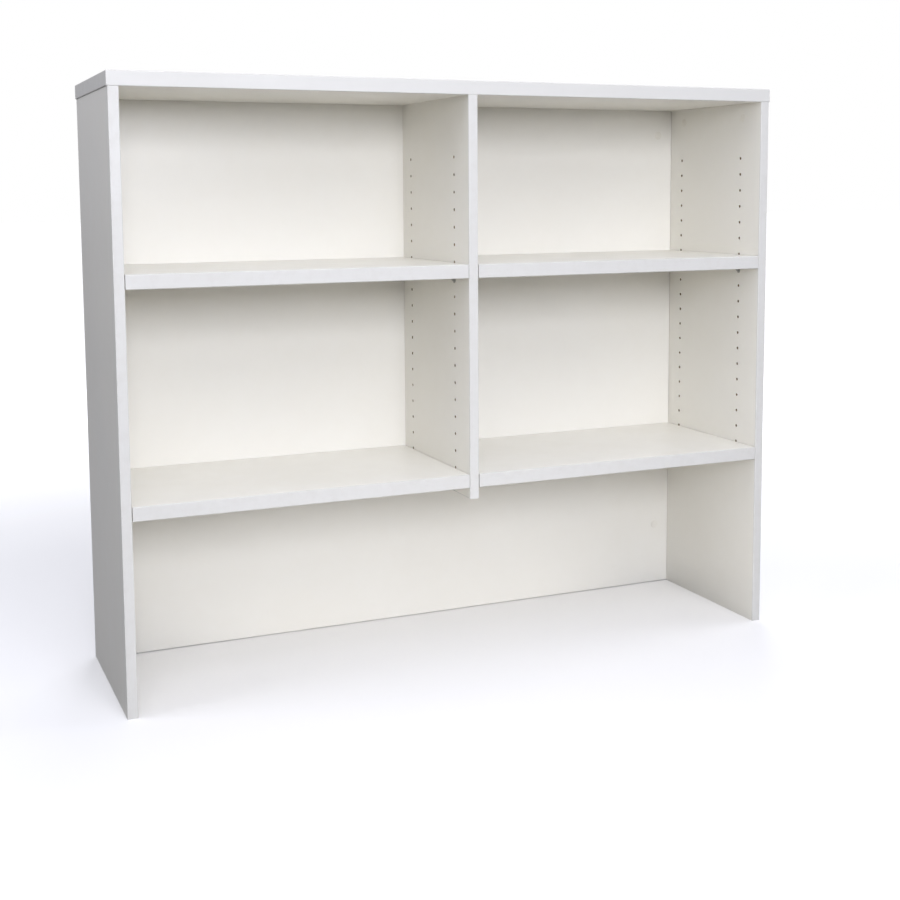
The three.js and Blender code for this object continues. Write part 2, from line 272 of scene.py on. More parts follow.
def placeGroup(tree, group, inputs):
    made = tree.nodes.new("ShaderNodeGroup")
    made.node_tree = group
    for key, value in inputs.items():
        if isinstance(value, bpy.types.NodeSocket):
            tree.links.new(value, made.inputs[key])
        else:
            made.inputs[key].default_value = value
    return made.outputs


def startMaterial(name, metallic=0.0, ior=1.5):
    material = bpy.data.materials.new(name)
    material.use_nodes = True
    tree = material.node_tree
    shader = tree.nodes["Principled BSDF"]
    shader.inputs["Metallic"].default_value = metallic
    shader.inputs["IOR"].default_value = ior
    return material, tree, shader


def setColour(tree, shader, colour):
    tree.links.new(colour, shader.inputs["Base Color"])


def setRough(tree, shader, rough):
    tree.links.new(rough, shader.inputs["Roughness"])


def setBump(tree, shader, height, distance):
    bump = addNode(tree, "Bump", {"Height": height, "Distance": distance, "Strength": 1.0})
    tree.links.new(bump.outputs["Normal"], shader.inputs["Normal"])


# effects that several finishes share

cloud = {
    "detail": 3.0,
    "rough": 0.55,
    "fineTimes": 9.0,     # finer by this much
    "fineRough": 0.6,
    "broadShare": 0.7,
    "range": (0.38, 0.62),
}


def makeCloudTone():  # a tone that drifts a little lighter and darker over the board
    group, given, result = startGroup(
        "cloudTone",
        {"Light": (0.8, 0.8, 0.8, 1), "Dark": (0.7, 0.7, 0.7, 1), "Size": 4.0, "Amount": 1.0},
        {"Colour": "NodeSocketColor", "Share": "NodeSocketFloat"},
    )
    place = ownPlace(group)
    broad = noise(group, place, given["Size"], cloud["detail"], cloud["rough"])
    fineSize = maths(group, "MULTIPLY", given["Size"], cloud["fineTimes"])
    fine = noise(group, place, fineSize, rough=cloud["fineRough"])
    both = ranged(group, weighed(group, broad, fine, cloud["broadShare"]), *cloud["range"])
    share = maths(group, "MULTIPLY", both, given["Amount"])
    group.links.new(mixedColour(group, share, given["Light"], given["Dark"]), result["Colour"])
    group.links.new(share, result["Share"])
    return group


pearl = {"cellShare": 0.6, "gritTimes": 2.3, "waveHeight": 1.6}


def makePearlGrain():  # the fine dimpled skin that a press plate leaves
    group, given, result = startGroup(
        "pearlGrain", {"Size": 1400.0, "Wave": 60.0}, {"Height": "NodeSocketFloat"}
    )
    place = ownPlace(group)
    inputs = {"Vector": place, "Scale": given["Size"], "Randomness": 1.0}
    cells = addNode(group, "TexVoronoi", inputs, feature="SMOOTH_F1").outputs["Distance"]
    grit = noise(group, place, maths(group, "MULTIPLY", given["Size"], pearl["gritTimes"]), detail=1.0)
    wave = noise(group, place, given["Wave"], detail=1.0)
    skin = weighed(group, cells, grit, pearl["cellShare"])
    swell = maths(group, "MULTIPLY", wave, pearl["waveHeight"])
    group.links.new(maths(group, "ADD", skin, swell), result["Height"])
    return group


veil = {
    "upward": (0.6, 0.98),    # how far up a face must look to hold dust
    "driftRough": 0.65,
    "driftRange": (0.35, 0.75),
    "driftShare": 0.6,
    "speckSize": 900.0,
    "speckRange": (0.62, 0.78),
}


def makeDustVeil():  # dust that settles on what faces up
    group, given, result = startGroup("dustVeil", {"Amount": 0.5, "Size": 14.0}, {"Mask": "NodeSocketFloat"})
    coords = addNode(group, "TexCoord")
    place = coords.outputs["Object"]
    upward = addNode(group, "SeparateXYZ", {0: coords.outputs["Normal"]}).outputs["Z"]
    flat = ranged(group, upward, *veil["upward"])
    drift = noise(group, place, given["Size"], detail=4.0, rough=veil["driftRough"])
    drift = ranged(group, drift, *veil["driftRange"])
    specks = ranged(group, noise(group, place, veil["speckSize"], detail=1.0), *veil["speckRange"])
    dust = weighed(group, drift, specks, veil["driftShare"])
    mask = maths(group, "MULTIPLY", maths(group, "MULTIPLY", dust, flat), given["Amount"])
    group.links.new(mask, result["Mask"])
    return group


rub = {"detail": 5.0, "rough": 0.7, "range": (0.46, 0.62)}


def makeRimRub():  # broken patches where hands and cloths have rubbed a rounded edge
    group, given, result = startGroup("rimRub", {"Amount": 0.6, "Size": 55.0}, {"Mask": "NodeSocketFloat"})
    rim = addNode(group, "Attribute", attribute_name="rim").outputs["Fac"]
    patches = noise(group, ownPlace(group), given["Size"], rub["detail"], rub["rough"])
    worn = maths(group, "MULTIPLY", rim, ranged(group, patches, *rub["range"]))
    group.links.new(maths(group, "MULTIPLY", worn, given["Amount"]), result["Mask"])
    return group


scuff = {
    "ways": [(0.35, (1, 34, 8)), (1.9, (6, 1, 40))],  # a turn and a stretch for each set of hairlines
    "rough": 0.6,
    "lineRange": (0.66, 0.72),
    "gateSize": 5.0,                                  # the patches that have any at all
    "gateRange": (0.52, 0.7),
}


def makeScuffs():  # sparse hairlines, each set of them long in one direction
    group, given, result = startGroup("scuffs", {"Size": 26.0, "Amount": 0.5}, {"Mask": "NodeSocketFloat"})
    place = ownPlace(group)
    lines = []
    for turn, stretch in scuff["ways"]:
        inputs = {"Vector": place, "Rotation": (turn, turn / 2, turn), "Scale": stretch}
        mapping = addNode(group, "Mapping", inputs)
        streak = noise(group, mapping.outputs["Vector"], given["Size"], rough=scuff["rough"])
        lines.append(ranged(group, streak, *scuff["lineRange"]))
    gate = ranged(group, noise(group, place, scuff["gateSize"]), *scuff["gateRange"])
    gated = maths(group, "MULTIPLY", maths(group, "MAXIMUM", *lines), gate)
    group.links.new(maths(group, "MULTIPLY", gated, given["Amount"]), result["Mask"])
    return group


cast = {"rough": 0.6, "pitTimes": 1.8, "pitDepth": 0.3, "swellShare": 0.7, "shadeRange": (0.35, 0.65)}


def makeCastSkin():  # the slightly pitted surface of a small die casting
    group, given, result = startGroup(
        "castSkin", {"Size": 900.0}, {"Height": "NodeSocketFloat", "Shade": "NodeSocketFloat"}
    )
    place = ownPlace(group)
    swell = noise(group, place, given["Size"], detail=3.0, rough=cast["rough"])
    inputs = {"Vector": place, "Scale": maths(group, "MULTIPLY", given["Size"], cast["pitTimes"])}
    cells = addNode(group, "TexVoronoi", inputs).outputs["Distance"]
    pits = ranged(group, cells, 0.0, cast["pitDepth"])
    group.links.new(weighed(group, swell, pits, cast["swellShare"]), result["Height"])
    group.links.new(ranged(group, swell, *cast["shadeRange"]), result["Shade"])
    return group


cloudTone = makeCloudTone()
pearlGrain = makePearlGrain()
dustVeil = makeDustVeil()
rimRub = makeRimRub()
scuffs = makeScuffs()
castSkin = makeCastSkin()
print("shared effects made")


# finishes

def makeFacing():
    look = {
        "cloud": {"Light": (0.842, 0.820, 0.752, 1), "Dark": (0.829, 0.804, 0.731, 1), "Size": 3.5},
        "dust": {"Amount": 0.16},
        "scuffs": {"Size": 22.0, "Amount": 0.35},
        "grain": {"Size": 1300.0, "Wave": 45.0},
        "grainDepth": 0.02 * mm,
        "dustColour": (0.78, 0.76, 0.71, 1),
        "rough": (0.30, 0.38),
        "dustRough": 0.3,    # added where dust lies
        "scuffRough": 0.15,
    }
    material, tree, shader = startMaterial("warmWhiteFacing")
    tone = placeGroup(tree, cloudTone, look["cloud"])
    dust = placeGroup(tree, dustVeil, look["dust"])["Mask"]
    marks = placeGroup(tree, scuffs, look["scuffs"])["Mask"]
    dusty = mixedColour(tree, dust, tone["Colour"], look["dustColour"])
    setColour(tree, shader, mixedColour(tree, marks, dusty, look["cloud"]["Dark"]))
    rough = ranged(tree, tone["Share"], 0.0, 1.0, *look["rough"])
    rough = maths(tree, "ADD", rough, maths(tree, "MULTIPLY", dust, look["dustRough"]))
    setRough(tree, shader, maths(tree, "ADD", rough, maths(tree, "MULTIPLY", marks, look["scuffRough"])))
    setBump(tree, shader, placeGroup(tree, pearlGrain, look["grain"])["Height"], look["grainDepth"])
    return material


def makeHardEdging():
    look = {
        "cloud": {"Light": (0.660, 0.648, 0.609, 1), "Dark": (0.648, 0.635, 0.595, 1), "Size": 6.0},
        "rub": {"Amount": 0.26, "Size": 60.0},
        "scuffs": {"Size": 40.0, "Amount": 0.2},
        "grain": {"Size": 800.0, "Wave": 120.0},
        "grainDepth": 0.02 * mm,
        "rubbed": (0.60, 0.578, 0.53, 1),
        "rough": (0.44, 0.54),
        "rubRough": 0.25,    # added where it is rubbed
    }
    material, tree, shader = startMaterial("coolWhiteEdging", ior=1.52)
    tone = placeGroup(tree, cloudTone, look["cloud"])
    rubs = placeGroup(tree, rimRub, look["rub"])["Mask"]
    marks = placeGroup(tree, scuffs, look["scuffs"])["Mask"]
    worn = mixedColour(tree, rubs, tone["Colour"], look["rubbed"])
    setColour(tree, shader, mixedColour(tree, marks, worn, look["rubbed"]))
    rough = ranged(tree, tone["Share"], 0.0, 1.0, *look["rough"])
    setRough(tree, shader, maths(tree, "ADD", rough, maths(tree, "MULTIPLY", rubs, look["rubRough"])))
    setBump(tree, shader, placeGroup(tree, pearlGrain, look["grain"])["Height"], look["grainDepth"])
    return material


def makeThinTape():
    look = {
        "cloud": {"Light": (0.81, 0.785, 0.73, 1), "Dark": (0.77, 0.74, 0.68, 1), "Size": 12.0},
        "scuffs": {"Size": 60.0, "Amount": 0.5},
        "grain": {"Size": 500.0, "Wave": 150.0},
        "grainDepth": 0.04 * mm,
        "rough": (0.4, 0.55),
    }
    material, tree, shader = startMaterial("thinEdgeTape")
    tone = placeGroup(tree, cloudTone, look["cloud"])
    marks = placeGroup(tree, scuffs, look["scuffs"])["Mask"]
    setColour(tree, shader, mixedColour(tree, marks, tone["Colour"], look["cloud"]["Dark"]))
    setRough(tree, shader, ranged(tree, tone["Share"], 0.0, 1.0, *look["rough"]))
    setBump(tree, shader, placeGroup(tree, pearlGrain, look["grain"])["Height"], look["grainDepth"])
    return material


def makeCoreAndHoleShade():
    look = {
        # painted shade: the chip tones run darker than bare chipboard, so the drilled holes that wear this
        # core read dark inside; the raw edges carry the same darker tone
        "chips": [
            (0.0, (0.07, 0.04, 0.02, 1)),
            (0.35, (0.20, 0.135, 0.075, 1)),
            (1.0, (0.40, 0.29, 0.175, 1)),
        ],
        "chipSize": 820.0,
        "stretch": (1.0, 0.45, 1.6),
        "gritSize": 1500.0,
        "gritRough": 0.7,
        "chipShare": 0.65,
        "gritRange": (0.3, 0.7),
        "rough": (0.75, 0.95),
        "depth": 0.25 * mm,
    }
    material, tree, shader = startMaterial("chipboardCoreAndHoleShade", ior=1.4)
    place = ownPlace(tree)
    mapping = addNode(tree, "Mapping", {"Vector": place, "Scale": look["stretch"]})
    chips = addNode(tree, "TexVoronoi", {"Vector": mapping.outputs["Vector"], "Scale": look["chipSize"]})
    fleck = addNode(tree, "SeparateColor", {0: chips.outputs["Color"]}).outputs[0]
    grit = noise(tree, place, look["gritSize"], detail=3.0, rough=look["gritRough"])
    share = weighed(tree, fleck, grit, look["chipShare"])
    setColour(tree, shader, ramped(tree, share, look["chips"]))
    setRough(tree, shader, ranged(tree, grit, *look["gritRange"], *look["rough"]))
    setBump(tree, shader, share, look["depth"])
    return material


def makeCapPlastic():
    look = {
        "cloud": {"Light": (0.825, 0.797, 0.72, 1), "Dark": (0.77, 0.74, 0.66, 1), "Size": 90.0},
        "rub": {"Amount": 0.5, "Size": 300.0},
        "grain": {"Size": 2600.0, "Wave": 300.0},
        "grainDepth": 0.01 * mm,
        "rough": (0.4, 0.52),
    }
    material, tree, shader = startMaterial("capPlastic")
    tone = placeGroup(tree, cloudTone, look["cloud"])
    rubs = placeGroup(tree, rimRub, look["rub"])["Mask"]
    setColour(tree, shader, mixedColour(tree, rubs, tone["Colour"], look["cloud"]["Dark"]))
    setRough(tree, shader, ranged(tree, tone["Share"], 0.0, 1.0, *look["rough"]))
    setBump(tree, shader, placeGroup(tree, pearlGrain, look["grain"])["Height"], look["grainDepth"])
    return material


def makeNickel():
    look = {
        "light": (0.66, 0.65, 0.62, 1),
        "dark": (0.50, 0.49, 0.46, 1),
        "rough": (0.24, 0.42),
        "skin": {"Size": 700.0},
        "skinDepth": 0.03 * mm,
        "scuffs": {"Size": 260.0, "Amount": 0.6},
    }
    material, tree, shader = startMaterial("nickelPlate", metallic=1.0)
    skin = placeGroup(tree, castSkin, look["skin"])
    marks = placeGroup(tree, scuffs, look["scuffs"])["Mask"]
    colour = mixedColour(tree, skin["Shade"], look["light"], look["dark"])
    setColour(tree, shader, mixedColour(tree, marks, colour, look["dark"]))
    setRough(tree, shader, ranged(tree, skin["Shade"], 0.0, 1.0, *look["rough"]))
    setBump(tree, shader, skin["Height"], look["skinDepth"])
    return material


def makeCamZinc():
    look = {
        "light": (0.58, 0.58, 0.59, 1),
        "dark": (0.40, 0.40, 0.41, 1),
        "rough": (0.42, 0.62),
        "skin": {"Size": 1100.0},
        "skinDepth": 0.06 * mm,
        "rub": {"Amount": 0.8, "Size": 500.0},
    }
    material, tree, shader = startMaterial("bareZincCasting", metallic=1.0)
    skin = placeGroup(tree, castSkin, look["skin"])
    rubs = placeGroup(tree, rimRub, look["rub"])["Mask"]
    colour = mixedColour(tree, skin["Shade"], look["light"], look["dark"])
    setColour(tree, shader, mixedColour(tree, rubs, colour, look["light"]))
    setRough(tree, shader, ranged(tree, skin["Shade"], 0.0, 1.0, *look["rough"]))
    setBump(tree, shader, skin["Height"], look["skinDepth"])
    return material


def makeYellowZinc():
    look = {
        "tints": [(0.0, (0.56, 0.50, 0.34, 1)), (0.5, (0.68, 0.63, 0.46, 1)), (1.0, (0.60, 0.56, 0.50, 1))],
        "scratched": (0.42, 0.40, 0.35, 1),
        "filmSize": 160.0,    # the plating's tint drifts with its thickness
        "filmRough": 0.6,
        "tintRange": (0.35, 0.65),
        "roughRange": (0.3, 0.7),
        "rough": (0.28, 0.46),
        "scuffs": {"Size": 400.0, "Amount": 0.5},
        "skin": {"Size": 1600.0},
        "skinDepth": 0.02 * mm,
    }
    material, tree, shader = startMaterial("yellowZincPlate", metallic=1.0)
    film = noise(tree, ownPlace(tree), look["filmSize"], detail=3.0, rough=look["filmRough"])
    tint = ramped(tree, ranged(tree, film, *look["tintRange"]), look["tints"])
    marks = placeGroup(tree, scuffs, look["scuffs"])["Mask"]
    setColour(tree, shader, mixedColour(tree, marks, tint, look["scratched"]))
    setRough(tree, shader, ranged(tree, film, *look["roughRange"], *look["rough"]))
    setBump(tree, shader, placeGroup(tree, castSkin, look["skin"])["Height"], look["skinDepth"])
    return material


facing = makeFacing()
hardEdging = makeHardEdging()
thinTape = makeThinTape()
core = makeCoreAndHoleShade()
capPlastic = makeCapPlastic()
nickelPlate = makeNickel()
camZinc = makeCamZinc()
yellowZinc = makeYellowZinc()
boardFinishes = [facing, thinTape, core]
facingSlot, tapeSlot, coreSlot = range(3)
print("finishes made")


def wear(piece, *materials):
    piece.data.materials.clear()
    for material in materials:
        piece.data.materials.append(material)


# camera, floor and light

def makeCamera():
    camera = {
        "place": (-0.998, -2.370, 0.874),
        "turn": -23.37,  # degrees, towards +X
        "tilt": -6.01,   # below the horizon
        "roll": -0.35,
        "lens": 53.71,
        "shiftY": -0.13,
        "sensor": 36,
    }
    bpy.ops.object.camera_add(location=camera["place"])
    made = bpy.context.object
    made.name = "studio_camera"
    turn = Matrix.Rotation(math.radians(camera["turn"]), 3, "Z")
    tilt = Matrix.Rotation(math.radians(90 + camera["tilt"]), 3, "X")
    roll = Matrix.Rotation(math.radians(camera["roll"]), 3, "Z")
    made.rotation_euler = (turn @ tilt @ roll).to_euler()
    made.data.sensor_width = camera["sensor"]
    made.data.lens = camera["lens"]
    made.data.shift_y = camera["shiftY"]
    bpy.context.scene.camera = made


def makeFloor():
    floor = {
        "size": 80.0,
        "light": (0.90, 0.89, 0.87, 1),
        "dark": (0.8865, 0.87665, 0.85695, 1),
        "cloudSize": 1.5,
        "rough": (0.55, 0.65),
        "near": (0.82, 0.80, 0.75, 1),   # what it throws back close to the hutch
        "away": (0.14, 0.14, 0.14, 1),   # and further out
        "oval": {"Location": (0, 0.5, 0), "Scale": (1.9, 1.7, 1)},
        "ovalRim": (0.9, 1.3),
        "fade": (0.9, 3.6),              # from its own tone to plain white
        "glow": 0.75,
    }
    clearPick()
    bpy.ops.mesh.primitive_plane_add(size=floor["size"])
    piece = bpy.context.object
    nameIt(piece, "pale_floor")
    pickParts(piece, "FACE", lambda face: True)
    bpy.ops.mesh.subdivide(number_cuts=3)
    leaveEdit()

    material, tree, shader = startMaterial("paleFloor")
    place = ownPlace(tree)
    shade = noise(tree, place, floor["cloudSize"])
    pale = mixedColour(tree, shade, floor["light"], floor["dark"])
    setRough(tree, shader, ranged(tree, shade, 0.3, 0.7, *floor["rough"]))
    seen = addNode(tree, "LightPath").outputs["Is Camera Ray"]  # it looks paler than it throws light back
    oval = addNode(tree, "Mapping", {"Vector": place, **floor["oval"]})
    out = addNode(tree, "VectorMath", {0: oval.outputs["Vector"]}, operation="LENGTH").outputs["Value"]
    bounce = mixedColour(tree, ranged(tree, out, *floor["ovalRim"]), floor["near"], floor["away"])
    setColour(tree, shader, mixedColour(tree, seen, bounce, pale))

    far = addNode(tree, "VectorMath", {0: place}, operation="LENGTH").outputs["Value"]
    inputs = {"Value": far, "From Min": floor["fade"][0], "From Max": floor["fade"][1]}
    fade = addNode(tree, "MapRange", inputs, interpolation_type="SMOOTHSTEP").outputs["Result"]
    glow = mixedColour(tree, maths(tree, "MULTIPLY", fade, seen), (0, 0, 0, 1), (1, 1, 1, 1))
    tree.links.new(glow, shader.inputs["Emission Color"])
    shader.inputs["Emission Strength"].default_value = floor["glow"]
    wear(piece, material)


def makeWorld():  # pale room: white where the camera sees it, dimmer below than above as a light
    sky = {
        "seen": (1, 1, 1, 1),
        "above": (0.40, 0.405, 0.44, 1),
        "below": (0.05, 0.05, 0.05, 1),
        "horizon": (-0.3, 0.5),  # where below turns into above
    }
    world = bpy.data.worlds.new("studio")
    bpy.context.scene.world = world
    world.use_nodes = True
    tree = world.node_tree
    tree.nodes.clear()
    way = addNode(tree, "SeparateXYZ", {0: addNode(tree, "TexCoord").outputs["Generated"]}).outputs["Z"]
    tone = mixedColour(tree, ranged(tree, way, *sky["horizon"]), sky["below"], sky["above"])
    ambient = addNode(tree, "Background", {"Color": tone, "Strength": 1.0})
    seen = addNode(tree, "Background", {"Color": sky["seen"], "Strength": 1.0})
    ray = addNode(tree, "LightPath").outputs["Is Camera Ray"]
    mix = addNode(tree, "MixShader", {0: ray, 1: ambient.outputs[0], 2: seen.outputs[0]})
    output = addNode(tree, "OutputWorld")
    tree.links.new(mix.outputs[0], output.inputs["Surface"])


lamps = {
    "key_softbox": {"place": (-0.55, -3.4, 1.55), "aim": (0, 0, 0.7), "size": (1.7, 0.95), "power": 75},
    "ceiling_panel": {"place": (-0.5, -3.1, 3.6), "aim": (0, 0, 0.5), "size": (4.2, 2.6), "power": 98},
    "left_fill": {"place": (-2.7, -0.1, 2.4), "aim": (-0.4, 0, 0.9), "size": (1.6, 1.4), "power": 30},
    "right_fill": {"place": (2.8, -0.3, 2.2), "aim": (0.4, 0, 0.8), "size": (1.6, 1.4), "power": 26},
    "rear_fill": {"place": (1.5, 3.2, 1.6), "aim": (0, 0, 0.5), "size": (2.6, 1.2), "power": 60},
}
lampTone = (0.885, 0.905, 1.0)


def makeLight(name, lamp):
    clearPick()
    place, aim = Vector(lamp["place"]), Vector(lamp["aim"])
    turn = (aim - place).to_track_quat("-Z", "Y").to_euler()
    bpy.ops.object.light_add(type="AREA", location=place, rotation=turn)
    made = bpy.context.object
    made.name = name
    made.data.shape = "RECTANGLE"
    made.data.size, made.data.size_y = lamp["size"]
    made.data.energy = lamp["power"]
    made.data.color = lampTone


def makeStudio():
    makeCamera()
    makeFloor()
    makeWorld()
    for name, lamp in lamps.items():
        makeLight(name, lamp)
    bpy.context.scene.view_settings.view_transform = "Standard"


makeStudio()
print("studio made")


# boards

boards = {
    "arris": 0.25 * mm,   # the broken edge of the pressed facing
    "arrisSteps": 2,
    "squareness": 0.6,    # how straight a face must look some way to count
    "taped": {            # which raw edges carry thin tape, by outward direction
        "top_panel": [yAxis],
        "left_side_panel": [yAxis],
        "right_side_panel": [yAxis],
        "centre_divider": [],
        "back_panel": [-zAxis],
        "upper_left_shelf": [yAxis, xAxis, -xAxis],
        "upper_right_shelf": [yAxis, xAxis, -xAxis],
        "lower_left_shelf": [yAxis, xAxis, -xAxis],
        "lower_right_shelf": [yAxis, xAxis, -xAxis],
    },
}


def spanOf(node, pickSide):  # a box and the axis along which it is thinnest or longest
    low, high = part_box(node)
    size = high - low
    return low, high, pickSide(range(3), key=lambda axis: size[axis])


def makeBoard(node):
    low, high, thin = spanOf(node, min)  # its facings look along its thin direction
    piece = startBlock(node + "_board", low, high)
    pickParts(piece, "EDGE", lambda edge: True)
    bpy.ops.mesh.bevel(offset=boards["arris"], segments=boards["arrisSteps"], affect="EDGES")
    leaveEdit()
    wear(piece, *boardFinishes)
    for face in piece.data.polygons:
        if abs(face.normal[thin]) > boards["squareness"]:
            face.material_index = facingSlot
        elif any(face.normal.dot(way) > boards["squareness"] for way in boards["taped"][node]):
            face.material_index = tapeSlot
        else:
            face.material_index = coreSlot
    return piece


def finishBoard(piece, node):
    smoothed(piece)
    markRims(piece)
    standFor(piece, node)


# drilling

drill = {"sides": 28, "flare": 0.25 * mm, "overrun": 1.0 * mm}


def markCore(bit):  # what it cuts shows the board's core, whose darkened tone is painted shade inside the holes
    wear(bit, *boardFinishes)
    for face in bit.data.polygons:
        face.material_index = coreSlot


def makeDrill(mouth, inward, radius, depth):  # a bit whose mouth flares a little
    neck = mouth + inward * drill["flare"]
    piece = startRod("drill", mouth + inward * depth, neck, radius, drill["sides"])
    pickParts(piece, "FACE", lambda face: face.normal.dot(inward) < -0.9)
    bpy.ops.mesh.extrude_region_move(TRANSFORM_OT_translate={"value": -inward * drill["flare"]})
    wider = 1 + drill["flare"] / radius
    bpy.ops.transform.resize(value=(wider, wider, wider), center_override=mouth)
    bpy.ops.mesh.extrude_region_move(TRANSFORM_OT_translate={"value": -inward * drill["overrun"]})
    leaveEdit()
    markCore(piece)
    return piece


pins = {
    "foot": 6.5 * mm,         # wall plate below the peg's axis
    "footRound": 4.32 * mm,
    "rise": 5.5 * mm,         # platform above it
    "reach": 12 * mm,
    "tipRound": 2.2 * mm,
    "width": 9 * mm,
    "thick": 1.5 * mm,
    "webInset": 1 * mm,       # the web stops short of the foot and of the tip
    "pegRadius": 2.3 * mm,
    "pegLength": 7 * mm,
    "pegRound": 0.5 * mm,
    "pegSides": 28,
    "soften": 0.22 * mm,
}

pinHoles = {
    "pitch": 32 * mm,
    "above": 7,               # holes over an upper pin
    "radius": 2.5 * mm,
    "depth": 7.5 * mm,
}


def pegAxis(node):  # the point on a shelf pin's peg axis at the middle of its box
    low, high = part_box(node)
    return Vector(((low.x + high.x) / 2, (low.y + high.y) / 2, low.z + pins["foot"]))


def drillPinHoles(board, wallX, inward, bay, wall):
    upper = pegAxis(f"pin_upper_{bay}_{wall}_front")
    lower = pegAxis(f"pin_lower_{bay}_{wall}_front")
    topZ = upper.z + pinHoles["above"] * pinHoles["pitch"]
    rows = round((topZ - lower.z) / pinHoles["pitch"]) + 1
    for column in ("front", "rear"):
        y = pegAxis(f"pin_upper_{bay}_{wall}_{column}").y
        bit = makeDrill(Vector((wallX, y, topZ)), inward, pinHoles["radius"], pinHoles["depth"])
        applied(
            bit,
            "ARRAY",
            count=rows,
            use_relative_offset=False,
            use_constant_offset=True,
            constant_offset_displace=(0, 0, -pinHoles["pitch"]),
        )
        cutAway(board, bit)


camFitting = {
    "boreRadius": 7.5 * mm,
    "boreDepth": 12.5 * mm,
    "boltBore": 4 * mm,
    "threadHole": 2.5 * mm,
    "threadDepth": 11.5 * mm,
}


def listFittings():  # name, way into the cam's board, way to the mating board, the two boards
    found = []
    for side, out in (("left", -xAxis), ("right", xAxis)):
        sidePanel = side + "_side_panel"
        for column in ("front", "rear"):
            found.append((f"{side}_top_{column}", out, zAxis, sidePanel, "top_panel"))
        for level in ("lower", "upper"):
            found.append((f"{side}_back_{level}", yAxis, out, "back_panel", sidePanel))
    for column in ("front", "rear"):
        found.append((f"divider_top_{column}", -xAxis, zAxis, "centre_divider", "top_panel"))
    return found


fittings = listFittings()


def boxMiddle(node):
    low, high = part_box(node)
    return (low + high) / 2


def nearFace(node, towards):  # how far along this way a board's first face lies
    low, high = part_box(node)
    return (low if max(towards) > 0.5 else high).dot(towards)


def farFace(node, towards):  # and its last one
    low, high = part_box(node)
    return (high if max(towards) > 0.5 else low).dot(towards)


def camFace(name, inward):  # the point where a cam's axis meets its board's face
    low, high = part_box(name + "_cam")
    half = abs((high - low).dot(inward)) / 2
    return (low + high) / 2 - inward * half


def drillFittings(board, node):
    for name, inward, towards, camBoard, matingBoard in fittings:
        centre = boxMiddle(name + "_bolt")
        along = centre.dot(towards)
        if node == camBoard:
            bore = makeDrill(camFace(name, inward), inward, camFitting["boreRadius"], camFitting["boreDepth"])
            cutAway(board, bore)
            mouth = centre + towards * (farFace(node, towards) - along)
            reach = (mouth - boxMiddle(name + "_cam")).dot(towards)
            cutAway(board, makeDrill(mouth, -towards, camFitting["boltBore"], reach))
        if node == matingBoard:
            mouth = centre + towards * (nearFace(node, towards) - along)
            cutAway(board, makeDrill(mouth, towards, camFitting["threadHole"], camFitting["threadDepth"]))


screwHoles = {
    "radius": 2.4 * mm,
    "headRadius": 4.4 * mm,
    "headDepth": 3 * mm,
    "sunk": 0.5 * mm,
    "depth": 51 * mm,
}
screwNames = [f"divider_screw_{number}" for number in (1, 2, 3, 4)]


def drillScrewHoles(board):
    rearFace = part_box("back_panel")[1].y
    for name in screwNames:
        middle = boxMiddle(name)
        mouth = Vector((middle.x, rearFace, middle.z))
        end, neck = mouth - yAxis * screwHoles["depth"], mouth - yAxis * screwHoles["headDepth"]
        bit = startRod("drill", end, neck, screwHoles["radius"], drill["sides"])
        pickParts(bit, "FACE", lambda face: face.normal.y > 0.9)
        flare = screwHoles["headDepth"] - screwHoles["sunk"]
        bpy.ops.mesh.extrude_region_move(TRANSFORM_OT_translate={"value": yAxis * flare})
        wider = screwHoles["headRadius"] / screwHoles["radius"]
        bpy.ops.transform.resize(value=(wider, 1, wider), center_override=mouth - yAxis * screwHoles["sunk"])
        bpy.ops.mesh.extrude_region_move(TRANSFORM_OT_translate={"value": yAxis * 2 * drill["overrun"]})
        leaveEdit()
        markCore(bit)
        cutAway(board, bit)


def makeBoards():
    for node in boards["taped"]:
        piece = makeBoard(node)
        low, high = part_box(node)
        if node == "left_side_panel":
            drillPinHoles(piece, high.x, -xAxis, "left", "outer")
        if node == "right_side_panel":
            drillPinHoles(piece, low.x, xAxis, "right", "outer")
        if node == "centre_divider":
            drillPinHoles(piece, low.x, xAxis, "left", "inner")
            drillPinHoles(piece, high.x, -xAxis, "right", "inner")
        drillFittings(piece, node)
        if node in ("centre_divider", "back_panel"):
            drillScrewHoles(piece)
        finishBoard(piece, node)


makeBoards()
print("boards made")


# edging

edging = {"radius": 1.5 * mm, "steps": 6}


def makeEdging(node):
    low, high, thin = spanOf(node, min)
    run = spanOf(node, max)[2]
    outward = [xAxis if high.x > 0 else -xAxis, -yAxis, -zAxis][thin]
    outerFace = farFace(node, outward)
    wholeFace = node == "top_panel_front_edging"  # the top's front corners are rounded too

    def isOuterEdge(edge):
        if any(abs(end.co.dot(outward) - outerFace) > doubles for end in edge.verts):
            return False
        way = edge.verts[1].co - edge.verts[0].co
        return wholeFace or abs(way[run]) > 0.9 * way.length

    piece = startBlock(node + "_strip", low, high)
    pickParts(piece, "EDGE", isOuterEdge)
    bpy.ops.mesh.bevel(offset=edging["radius"], segments=edging["steps"], affect="EDGES")
    leaveEdit()
    wear(piece, hardEdging)
    smoothed(piece)
    markRims(piece)
    standFor(piece, node)


for node in sorted(frame["nodes"]):
    if node.endswith("_edging"):
        makeEdging(node)
print("edging made")


# shelf pins

